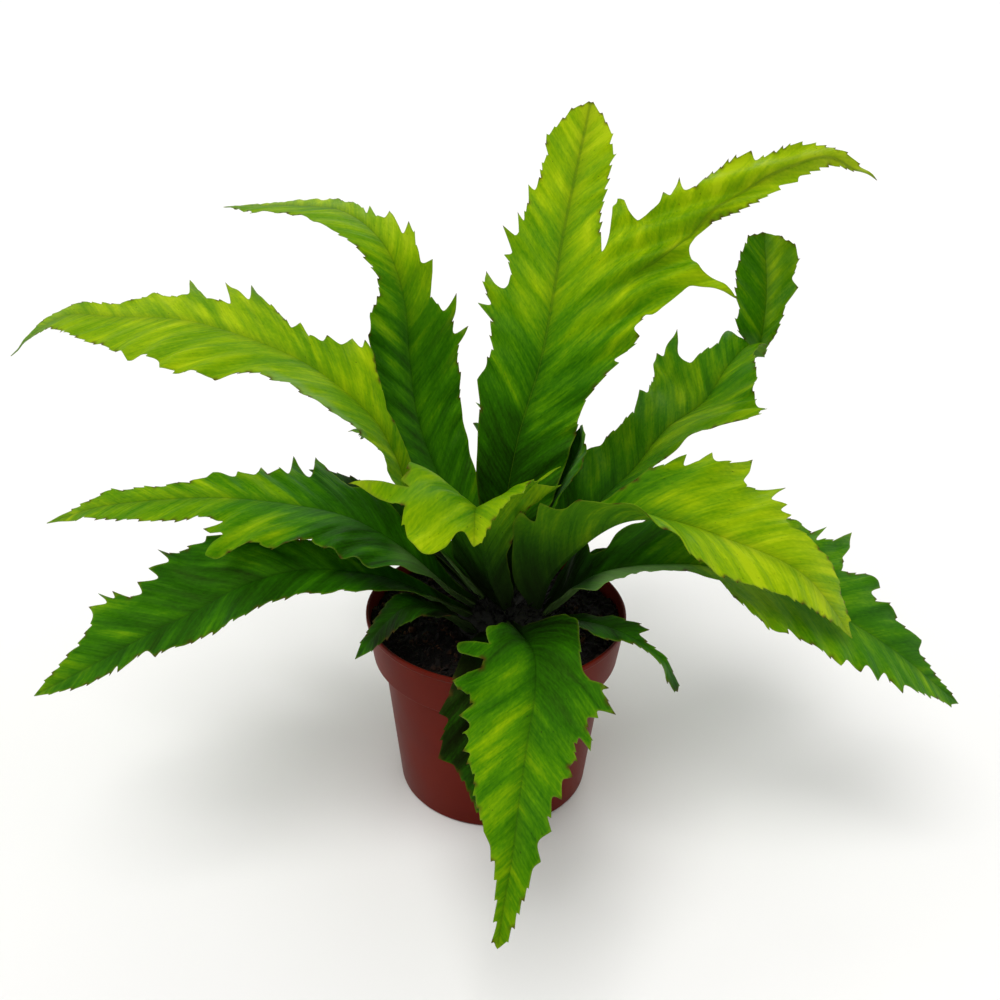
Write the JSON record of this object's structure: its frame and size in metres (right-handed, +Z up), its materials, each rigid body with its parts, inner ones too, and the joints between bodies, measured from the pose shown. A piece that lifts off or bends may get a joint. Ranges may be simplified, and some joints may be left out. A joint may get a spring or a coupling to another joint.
{
  "type": "birds nest fern in a nursery pot",
  "caption": "Potted birds nest fern: an open rosette of arching, wavy green fronds with toothed, forked edges, growing from a short rootstock in a round plastic nursery pot of dark compost.",
  "frame": {"origin": "middle of the pot's flat base, on the surface that it stands on", "axes": "+Z up along the pot's axis, -Y towards the plant's front with the largest hanging frond, +X to the right of someone who looks at that front"},
  "size_m": [0.4359, 0.357, 0.3037],
  "materials": {
    "terracotta_plastic": "satin",
    "compost": "matte",
    "rootstock": "matte",
    "frond_bright": "satin",
    "frond_green": "satin",
    "frond_deep": "satin"
  },
  "bodies": {
    "root": {"pot": "terracotta_plastic", "soil": "compost", "crown": "rootstock", "frond_back_forked": "frond_bright", "frond_back_left": "frond_green", "frond_left_high": "frond_bright", "frond_left_forked": "frond_green", "frond_left_low": "frond_deep", "frond_rim_left": "frond_green", "frond_front": "frond_bright", "frond_front_under": "frond_deep", "frond_rim_right": "frond_deep", "frond_middle_curled": "frond_bright", "frond_back_right": "frond_green", "frond_right_light": "frond_bright", "frond_right_low": "frond_deep", "frond_young": "frond_green", "frond_left_narrow": "frond_green", "frond_rear_middle": "frond_green", "frond_rear_left": "frond_deep", "frond_rear_far_left": "frond_deep", "frond_rear_right": "frond_deep"}
  },
  "joints": []
}
